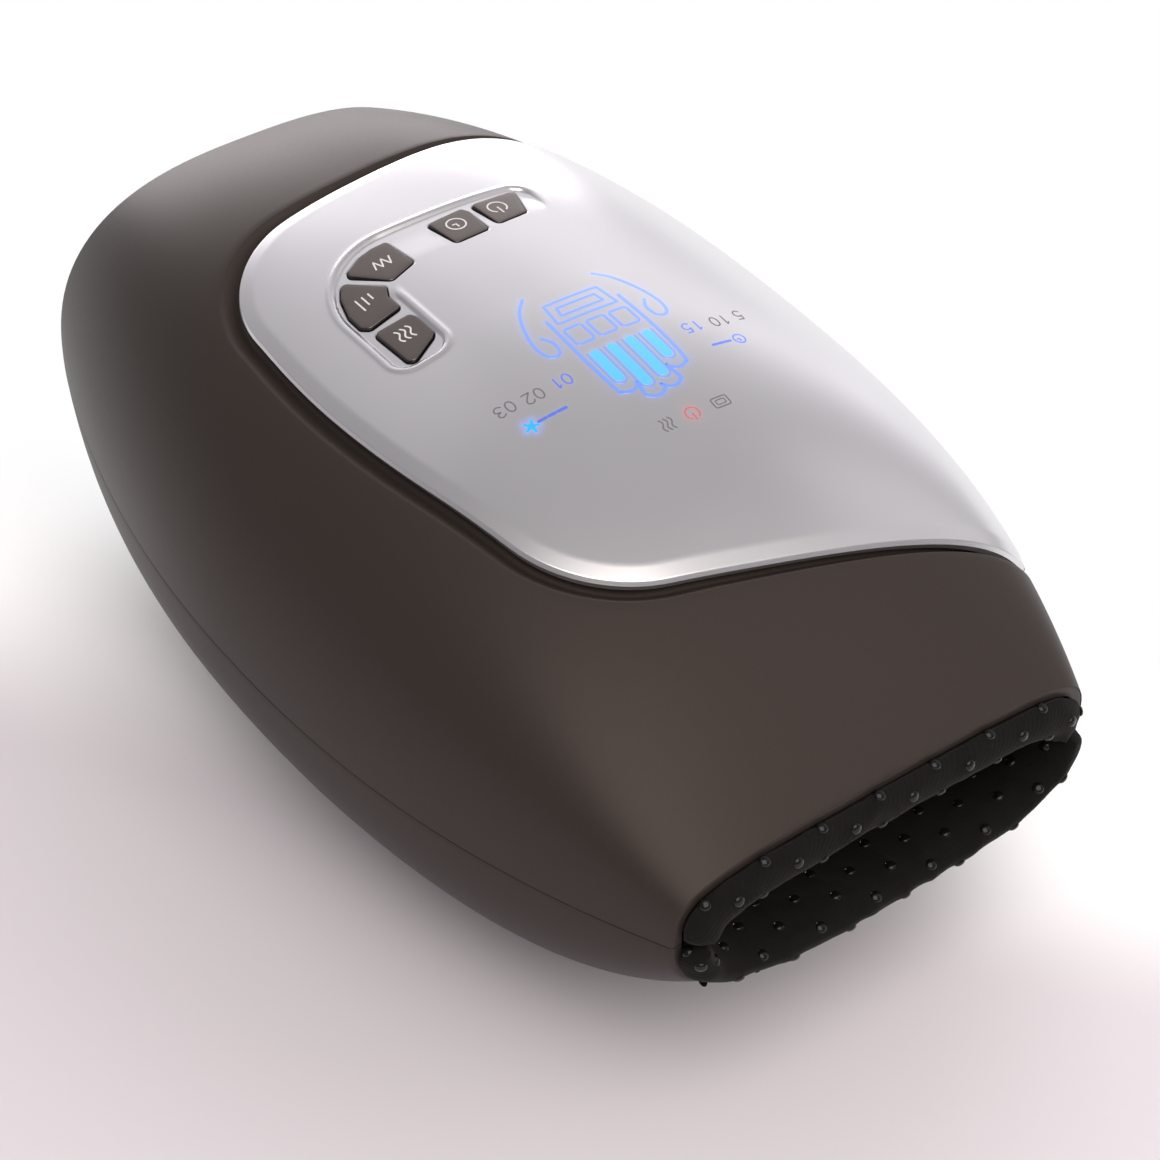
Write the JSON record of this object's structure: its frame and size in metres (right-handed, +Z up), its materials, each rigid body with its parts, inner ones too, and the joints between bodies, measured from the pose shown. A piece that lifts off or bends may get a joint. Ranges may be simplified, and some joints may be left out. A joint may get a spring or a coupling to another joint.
{
  "type": "hand massager",
  "caption": "Domed hand massager with an open padded tunnel through it, a sloping control panel with push buttons, and air bags, a pump, valves and battery cells inside.",
  "frame": {"origin": "middle of the bottom of the bounding box, on the surface that the feet stand on", "axes": "+Z up; +Y along the hand tunnel, from the rear mouth, where the hand goes in, to the front mouth, where the fingertips are; +X to the right of a user who reads the panel from the rear"},
  "size_m": [0.17, 0.272, 0.1184],
  "materials": {
    "shell_paint": "warm grey-brown paint with a fine metallic fleck, satin",
    "panel_paint": "silver paint, satin",
    "button_paint": "dark grey-brown paint, satin, with glossy black sides",
    "switch_plastic": "matt",
    "circuit_board": "green solder mask",
    "diffuser": "milky",
    "sleeve_fabric": "black knit over foam, with glossy raised dots",
    "bag_film": "satin film",
    "heater_film": "amber film",
    "frame_plastic": "moulded, matt",
    "battery_cell": "blue wrap",
    "lead_wire": "red insulation",
    "silicone": "milky tube",
    "steel": "plated",
    "rubber": "matt"
  },
  "bodies": {
    "housing": {"upper_shell": "shell_paint", "lower_shell": "shell_paint", "control_panel": "panel_paint", "power_switch": "switch_plastic", "timer_switch": "switch_plastic", "mode_switch": "switch_plastic", "intensity_switch": "switch_plastic", "heat_switch": "switch_plastic", "control_board": "circuit_board", "display_light_guide": "diffuser", "buzzer": "switch_plastic", "upper_sleeve": "sleeve_fabric", "lower_sleeve": "sleeve_fabric", "upper_air_bag": "bag_film", "lower_air_bag": "bag_film", "heater_pad": "heater_film", "roof_frame": "frame_plastic", "floor_frame": "frame_plastic", "battery_holder": "frame_plastic", "battery_cell_1": "battery_cell", "battery_cell_2": "battery_cell", "battery_lead": "lead_wire", "pump_motor": "steel", "pump_cradle": "rubber", "pump_head": "frame_plastic", "pump_lead": "lead_wire", "pump_hose": "silicone", "valve_manifold": "frame_plastic", "upper_valve": "steel", "lower_valve": "steel", "upper_bag_hose": "silicone", "lower_bag_hose": "silicone", "charge_board": "circuit_board", "charge_socket": "steel", "charge_lead": "lead_wire", "foot_rear_left": "rubber", "foot_rear_right": "rubber", "foot_front_left": "rubber", "foot_front_right": "rubber", "screw_rear_left": "steel", "screw_rear_right": "steel", "screw_front_left": "steel", "screw_front_right": "steel"},
    "power_key": {"power_button": "button_paint"},
    "timer_key": {"timer_button": "button_paint"},
    "mode_key": {"mode_button": "button_paint"},
    "intensity_key": {"intensity_button": "button_paint"},
    "heat_key": {"heat_button": "button_paint"},
    "crank": {"pump_crank": "steel"},
    "upper_plunger": {"upper_valve_plunger": "steel"},
    "lower_plunger": {"lower_valve_plunger": "steel"}
  },
  "joints": [
    {"name": "power_press", "type": "slide", "parent": "housing", "child": "power_key", "axis": [0, 0, -1], "range_m": [0, 0.0006], "stiffness_N_per_m": 800, "springref_m": -0.0005},
    {"name": "timer_press", "type": "slide", "parent": "housing", "child": "timer_key", "axis": [0, 0, -1], "range_m": [0, 0.0006], "stiffness_N_per_m": 800, "springref_m": -0.0005},
    {"name": "mode_press", "type": "slide", "parent": "housing", "child": "mode_key", "axis": [0, 0, -1], "range_m": [0, 0.0006], "stiffness_N_per_m": 800, "springref_m": -0.0005},
    {"name": "intensity_press", "type": "slide", "parent": "housing", "child": "intensity_key", "axis": [0, 0, -1], "range_m": [0, 0.0006], "stiffness_N_per_m": 800, "springref_m": -0.0005},
    {"name": "heat_press", "type": "slide", "parent": "housing", "child": "heat_key", "axis": [0, 0, -1], "range_m": [0, 0.0006], "stiffness_N_per_m": 800, "springref_m": -0.0005},
    {"name": "crank_turn", "type": "hinge", "parent": "housing", "child": "crank", "pos_m": [0.06836, -0.016, 0.0384], "axis": [0, 1, 0], "continuous": true},
    {"name": "upper_valve_slide", "type": "slide", "parent": "housing", "child": "upper_plunger", "axis": [0, 0, -1], "range_m": [0, 0.0012], "stiffness_N_per_m": 200, "springref_m": -0.001},
    {"name": "lower_valve_slide", "type": "slide", "parent": "housing", "child": "lower_plunger", "axis": [0, 0, -1], "range_m": [0, 0.0012], "stiffness_N_per_m": 200, "springref_m": -0.001}
  ]
}
